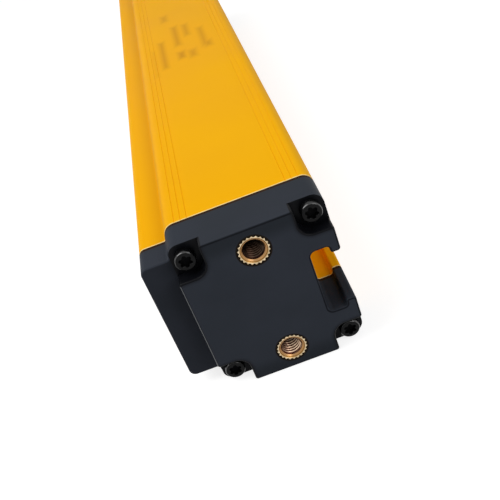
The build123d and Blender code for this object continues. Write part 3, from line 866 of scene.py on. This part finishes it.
tree, sizes = new_tree(
    "Geometry", "thread", Geometry=["Geometry"],
    Float=["Crest Radius", "Root Radius", "Mouth Radius", "Back Radius", "Pitch", "Length", "Side"],
    Int=["Steps Around", "Rows"], Material=["Finish"])
thread_tree = tree
grid = added(tree, "GeometryNodeMeshGrid", {
    "Size X": 1.0, "Size Y": 1.0, "Vertices X": plus(sizes["Steps Around"], 1),
    "Vertices Y": plus(sizes["Rows"], closing_rows)})[0]
x, y, z = added(tree, "ShaderNodeSeparateXYZ", {0: added(tree, "GeometryNodeInputPosition")[0]})
turn = plus(x, 0.5)
row = maths("ROUND", times(plus(y, 0.5), plus(sizes["Rows"], closing_rows - 1)))
beyond = most(minus(row, sizes["Rows"]), 0.0)
share = times(least(over(row, sizes["Rows"]), 1.0), below(beyond, on_the_back))
along = times(share, sizes["Length"])
wave = maths("PINGPONG", minus(over(along, sizes["Pitch"]), turn), 0.5)
cut = added(tree, "ShaderNodeMapRange", {
    "Value": wave, "From Min": flank_start, "From Max": flank_end,
    "To Min": sizes["Root Radius"], "To Max": sizes["Crest Radius"]})[0]
to_end = least(along, minus(sizes["Length"], along))
mouth = plus(times(sizes["Mouth Radius"], sizes["Side"]), to_end)
front = times(least(times(cut, sizes["Side"]), mouth), sizes["Side"])
to_back = times(minus(sizes["Back Radius"], front), maths("COMPARE", beyond, on_the_back, back_reach))
radius = plus(front, to_back)
angle = times(turn, 2 * pi)
bent = added(tree, "ShaderNodeCombineXYZ", {
    0: times(radius, maths("COSINE", angle)), 1: along, 2: times(radius, maths("SINE", angle))})[0]
sleeve = added(tree, "GeometryNodeSetPosition", {"Geometry": grid, "Position": bent})[0]
sleeve = added(tree, "GeometryNodeMergeByDistance", {"Geometry": sleeve, "Distance": doubled})[0]
sleeve = added(tree, "GeometryNodeTransform", {"Geometry": sleeve, "Scale": (MM, MM, MM)})[0]
end_tree(tree, sleeve, sizes["Finish"])

# %% Tree that sets copies of a part on points
copies_tree, sizes = new_tree(
    "Geometry", "copies", Geometry=["Geometry"], Object=["Part"], Float=["Random Turn"], Int=["Seed"],
    Material=["Finish"])
part = added(copies_tree, "GeometryNodeObjectInfo", {"Object": sizes["Part"]})[-1]
chance = added(copies_tree, "FunctionNodeRandomValue", {"Seed": sizes["Seed"]}, data_type="FLOAT")[0]
facing = added(copies_tree, "GeometryNodeInputNamedAttribute", {"Name": "facing"}, data_type="FLOAT")[0]
turned_by = added(copies_tree, "ShaderNodeCombineXYZ", {1: times(chance, sizes["Random Turn"]), 2: facing})[0]
spin = added(copies_tree, "FunctionNodeEulerToRotation", {0: turned_by})[0]
placed = added(copies_tree, "GeometryNodeInstanceOnPoints", {
    "Points": sizes["Geometry"], "Instance": part, "Rotation": spin})[0]
end_tree(copies_tree, placed, sizes["Finish"])

# %% Run a tree and keep a plain mesh
def grown(name, tree, points=((0, 0, 0),), facing=0.0, **inputs):
    """The plain mesh that a tree makes from some points. Inputs go by the sockets' identifiers."""
    mesh = bpy.data.meshes.new(name)
    mesh.from_pydata([Vector(point) * MM for point in points], [], [])
    mesh.attributes.new("facing", "FLOAT", "POINT").data.foreach_set("value", [facing] * len(points))
    piece = shown(name, mesh)
    modifier = piece.modifiers.new(tree.name, "NODES")
    modifier.node_group = tree
    for socket in tree.interface.items_tree:
        label = socket.name.replace(" ", "_")
        if socket.in_out == "INPUT" and label in inputs:
            modifier[socket.identifier] = inputs[label]
    bpy.context.view_layer.update()
    plain = bpy.data.meshes.new_from_object(piece.evaluated_get(bpy.context.evaluated_depsgraph_get()))
    piece.modifiers.remove(modifier)
    piece.data = plain
    shape = bmesh.new()
    shape.from_mesh(plain)
    written(closed(shape), plain)
    return piece


def joined(name, *parts):
    """One object from several parts, which are then taken out of the scene."""
    mesh = bpy.data.meshes.new(name)
    shape = bmesh.new()
    for part in parts:
        first_finish, first_face = len(mesh.materials), len(shape.faces)
        for material in part.data.materials:
            mesh.materials.append(material)
        shape.from_mesh(part.data)
        shape.faces.ensure_lookup_table()
        for face in shape.faces[first_face:]:
            face.material_index += first_finish
        bpy.data.objects.remove(part)
    return shown(name, written(shape, mesh))


def set_on(name, part, points, slot, facing=0.0, random_turn=0.0, seed=1):
    """Copies of a part on points, as one plain mesh. The part itself is then taken away."""
    piece = grown(
        name, copies_tree, points, facing,
        Part=part, Random_Turn=random_turn, Seed=seed, Finish=finishes[slot])
    bpy.data.objects.remove(part)
    return piece


def moved(piece, x, y, z):
    """The piece with its mesh moved, in millimetres."""
    piece.data.transform(Matrix.Translation(Vector((x, y, z)) * MM))
    return piece


def threaded(name, slot, start, end, **sizes):
    """A thread along the Y axis, from a start to an end."""
    return moved(grown(name, thread_tree, Length=end - start, Finish=finishes[slot], **sizes), 0, start, 0)


def numbered(stem, count):
    """The names of nodes that end in a number."""
    return [f"{stem}_{n}" for n in range(1, count + 1)]


print("ready to grow parts")

# %% [markdown]
# ## Turned parts
#
# Screw heads, inserts, pins and the connector are turned on a lathe, or nearly so. A list of
# rings about the Y axis makes them all. A ring has a plain radius, or a rule that gives the
# radius at each angle, which is how a six-lobed recess, a knurl or a hexagon comes in. Spin
# would make only the round ones. Copies then go where the nodes of the frame are.

# %% Helpers for turned parts
facings = {"near": 0.0, "far": pi}


def lathe(name, rows, steps):
    """A closed shell from rings about the Y axis. Rows are (radius or rule, place along Y)."""
    points = []
    for radius, y in rows:
        for n in range(steps):
            angle = 2 * pi * n / steps
            reach = radius(angle) if callable(radius) else radius
            points.append((reach * cos(angle), y, reach * sin(angle)))
    return new_piece(name, points, ring_faces(len(rows), steps))


def seats(names, end, inward=0.0):
    """Points on the axes of some nodes, at their outer ends or further in."""
    places = []
    for name in names:
        low, high = box_of(name)
        y = low.y + inward if end == "near" else high.y - inward
        places.append(((low.x + high.x) / 2, y, (low.z + high.z) / 2))
    return places


print("lathe ready")

# %% [markdown]
# ## Cap screws
#
# Four black screws hold each cap: a cylinder head with a rounded rim and a six-lobed recess,
# on an M3 thread. The recess is a circle with six smaller circles on its rim, so a plain rule
# gives its radius at any angle. The screws are turned by chance, as hand-driven ones are.

# %% One screw, standing on its seat with its head towards -Y
head_radius, head_height, head_round = 2.8, 2.5, 0.5
lobe_circle, lobe_radius, lobes, drive_depth, drive_edge = 1.3, 0.45, 6, 1.4, 0.1
shank_length, shank_start = 19.0, 0.2
shine_radius, shine_width, side_shine = 2.7, 0.13, 0.12
head_steps, screw_seed = 96, 7


def recess(wider):
    """The rule for the recess, made wider by an amount."""
    def rule(angle):
        off = (angle + pi / lobes) % (2 * pi / lobes) - pi / lobes
        small = lobe_radius + wider
        across = lobe_circle * sin(off)
        if abs(across) >= small:
            return lobe_circle + wider
        return max(lobe_circle + wider, lobe_circle * cos(off) + sqrt(small ** 2 - across ** 2))
    return rule


def cup():
    """A thin matt lining of the recess, a dark sheet of painted shade."""
    edge, floor = drive_edge - head_height, drive_depth - head_height
    rows = [(0, floor + 0.15), (recess(-0.1), floor), (recess(0), floor - 0.1), (recess(0), edge),
            (recess(0.06), edge + 0.02), (recess(0.06), floor + 0.25), (0, floor + 0.25)]
    return lathe("cup", rows, head_steps)


def screw():
    """A cap screw."""
    face, rim = -head_height, head_radius - head_round
    floor = face + drive_depth + 0.2
    rows = [(0, floor), (recess(0.03), floor), (recess(0.03), face + drive_edge), (recess(drive_edge), face)]
    rows += [(rim + head_round * sin(radians(t)), face + head_round * (1 - cos(radians(t))))
             for t in range(0, 91, 15)]
    rows += [(head_radius, -0.1), (head_radius - 0.1, 0), (1.3, 0), (1.3, 0.6), (0, 0.6)]
    shank = threaded(
        "shank", "black_steel", shank_start, shank_length, Crest_Radius=1.5, Root_Radius=1.2,
        Mouth_Radius=1.2, Back_Radius=0.0, Pitch=0.5, Side=1.0, Steps_Around=20, Rows=150)
    return joined("screw", lathe("head", rows, head_steps), shank)


for end, facing in facings.items():
    names = numbered(f"cap_screw_{end}", 4)
    places = seats(names, end, head_height)
    steel = set_on("steel", screw(), places, "black_steel", facing, 2 * pi, screw_seed)
    # Linings of painted shade in the recesses.
    cups = set_on("cups", cup(), places, "recess", facing, 2 * pi, screw_seed)
    screws = joined(f"screws_{end}", steel, cups)
    shine = screws.data.attributes.new("shine", "FLOAT", "POINT")
    for corner, mark in zip(screws.data.vertices, shine.data):
        spot = corner.co / MM
        off_axis = min(hypot(spot.x - x, spot.z - z) for x, y, z in places)
        ring = max(1 - abs(off_axis - shine_radius) / shine_width, 0.0)
        mark.value = max(ring, side_shine * (off_axis > shine_radius))
    even_normals(screws)
    stands_for(screws, *names)

# %% [markdown]
# ## Threaded inserts
#
# Two brass inserts in each cap take the mounting bracket's screws. Their outside is a straight
# knurl of 22 teeth that keeps them from turning in the plastic, and an M6 thread runs through
# them, with a cone at its mouth. The knurl is a wave on the radius, and the thread is a sleeve
# from the thread tree inside a plain bore.

# %% One insert, with its face towards -Y
insert_radius, insert_length, tooth_depth, teeth = 4.25, 12.0, 0.4, 22
core_radius, mouth_radius, sink, chamfer = 3.35, 3.7, 0.3, 0.12


def knurl(drop):
    """The rule for the knurl, drawn in by an amount."""
    return lambda angle: insert_radius - drop - tooth_depth * (0.5 - 0.5 * cos(teeth * angle))


def insert_body():
    """The knurled outside of an insert."""
    rows = [(core_radius, sink), (mouth_radius, 0), (knurl(chamfer), 0), (knurl(0), chamfer),
            (knurl(0), insert_length - chamfer), (knurl(chamfer), insert_length),
            (core_radius, insert_length)]
    return lathe("body", rows, 6 * teeth)


def insert_bore():
    """The threaded sleeve inside it, which starts below the mouth's cone."""
    return threaded(
        "bore", "thread", sink, insert_length, Crest_Radius=2.5, Root_Radius=3.0, Mouth_Radius=3.2,
        Back_Radius=core_radius, Pitch=1.0, Side=-1.0, Steps_Around=72, Rows=144)


for end, facing in facings.items():
    names = numbered(f"threaded_insert_{end}", 2)
    places = seats(names, end)
    bodies = set_on("bodies", insert_body(), places, "insert_brass", facing)
    bores = set_on("bores", insert_bore(), places, "thread", facing)
    inserts = joined(f"inserts_{end}", bodies, bores)
    even_normals(inserts)
    stands_for(inserts, *names)

# %% [markdown]
# ## Plug connector
#
# The cord plugs into a round connector in the far cap: a nickel-plated shell with a hexagon, a
# fine thread outside, and five gold pins in a black insulator. The hexagon is another rule on
# the radius. Its corners are cut by a cone, as on any turned nut, by taking the smaller of the
# two radii on each ring.

# %% Shell
low, high = box_of("connector_shell")
nose_length, hex_height, stem_length = 12.0, 3.0, 7.5
hex_half, hex_cone, cone_slope = 9.0, 8.7, 1.73


def polygon(sides, half_width, corner):
    """The rule for a polygon whose corners are cut at a radius."""
    share = pi / sides
    return lambda angle: min(half_width / cos((angle + share) % (2 * share) - share), corner)


def keyed(radius, key=0.5, key_angle=0.16):
    """The rule for a bore with a key along one side."""
    return lambda angle: radius - key * (abs(angle - pi / 2) < key_angle)


hexagon = partial(polygon, 6, hex_half)
rows = [(4.9, -stem_length), (6.3, -stem_length), (6.5, 0.2 - stem_length), (6.5, 0), (hexagon(10.4), 0)]
rows += [(hexagon(hex_cone + cone_slope * d), hex_height - d) for d in (1.0, 0.8, 0.6, 0.4, 0.2, 0.0)]
rows += [(5.5, hex_height), (5.35, hex_height + 0.2), (5.35, nose_length - 0.1), (5.25, nose_length),
         (5.0, nose_length), (4.9, nose_length - 0.1), (4.9, nose_length - 0.6),
         (keyed(4.9), nose_length - 0.6), (keyed(4.9), 3.5), (4.9, 3.5)]
nose = threaded(
    "nose", "nickel_plate", hex_height, nose_length, Crest_Radius=6.0, Root_Radius=5.45,
    Mouth_Radius=5.45, Back_Radius=5.3, Pitch=1.0, Side=1.0, Steps_Around=72, Rows=108)
shell = joined("shell", lathe("shell_body", rows, 192), nose)
moved(shell, (low.x + high.x) / 2, high.y - nose_length, (low.z + high.z) / 2)
even_normals(shell)
stands_for(shell, "connector_shell")

# %% Pins
names = numbered("connector_pin", 5)
low, high = box_of(names[0])
length = high.y - low.y
rows = [(0, 0), (0.3, 0), (0.44, 0.08), (0.5, 0.25), (0.5, length - 0.1), (0.4, length), (0, length)]
pins = set_on("pins", lathe("pin", rows, 24), seats(names, "far"), "gold_pins", pi)
stands_for(pins, *names)

# %% Insulator, with its edges rounded
stands_for(softened("connector_insulator", "insulator", 0.15), "connector_insulator")

# %% [markdown]
# ## Window and optics
#
# A tinted acrylic strip closes the front. Behind it stand twelve lenses in one clear strip, one
# in front of each diode. The lenses are all the same dome, so the copies tree sets them on the
# strip's front, and it sets the diodes too.

# %% Window
stands_for(softened("front_window", "window", 0.12), "front_window")

# %% Lens strip
beams, lens_radius, lens_rise, lens_back, dome_steps = 12, 7.5, 1.2, 0.3, 6
low, high = box_of("lens_strip")
names = numbered("beam_diode", beams)
ball = (lens_radius ** 2 + lens_rise ** 2) / (2 * lens_rise)
rows = []
for n in range(dome_steps + 1):
    reach = lens_radius * n / dome_steps
    rows.append((reach, ball - sqrt(ball ** 2 - reach ** 2)))
rows += [(lens_radius, lens_rise + lens_back), (0, lens_rise + lens_back)]
to_window = Matrix.Rotation(radians(-90), 4, "Z")
lens = lathe("lens", rows, 48)
lens.data.transform(to_window)
centres = []
for name in names:
    diode_low, diode_high = box_of(name)
    centres.append(((diode_low.y + diode_high.y) / 2, (diode_low.z + diode_high.z) / 2))
domes = set_on("domes", lens, [(low.x, y, z) for y, z in centres], "clear_plastic")
plate = new_piece(
    "plate",
    [(x, y, z) for x in (low.x + lens_rise, high.x) for y in (low.y, high.y) for z in (low.z, high.z)],
    [(0, 1, 3, 2), (4, 6, 7, 5), (0, 4, 5, 1), (2, 3, 7, 6), (0, 2, 6, 4), (1, 5, 7, 3)])
plate.data.materials.append(finishes["clear_plastic"])
stands_for(joined("lenses", plate, domes), "lens_strip")

# %% Diodes
base_half, base_corner, base_height = 1.8, 2.45, 1.0
dome_radius, dome_height, dome_flatness = 1.5, 2.4, 0.9
square = polygon(4, base_half, base_corner)
rows = [(0, 0)]
for t in range(15, 91, 15):
    rows.append((dome_radius * sin(radians(t)), dome_radius * dome_flatness * (1 - cos(radians(t)))))
rows += [(dome_radius, dome_height - base_height), (square, dome_height - base_height),
         (square, dome_height), (0, dome_height)]
diode = lathe("diode", rows, 48)
diode.data.transform(to_window)
front = box_of(names[0])[0].x
diodes = set_on("diodes", diode, [(front, y, z) for y, z in centres], "diode_resin")
stands_for(diodes, *names)
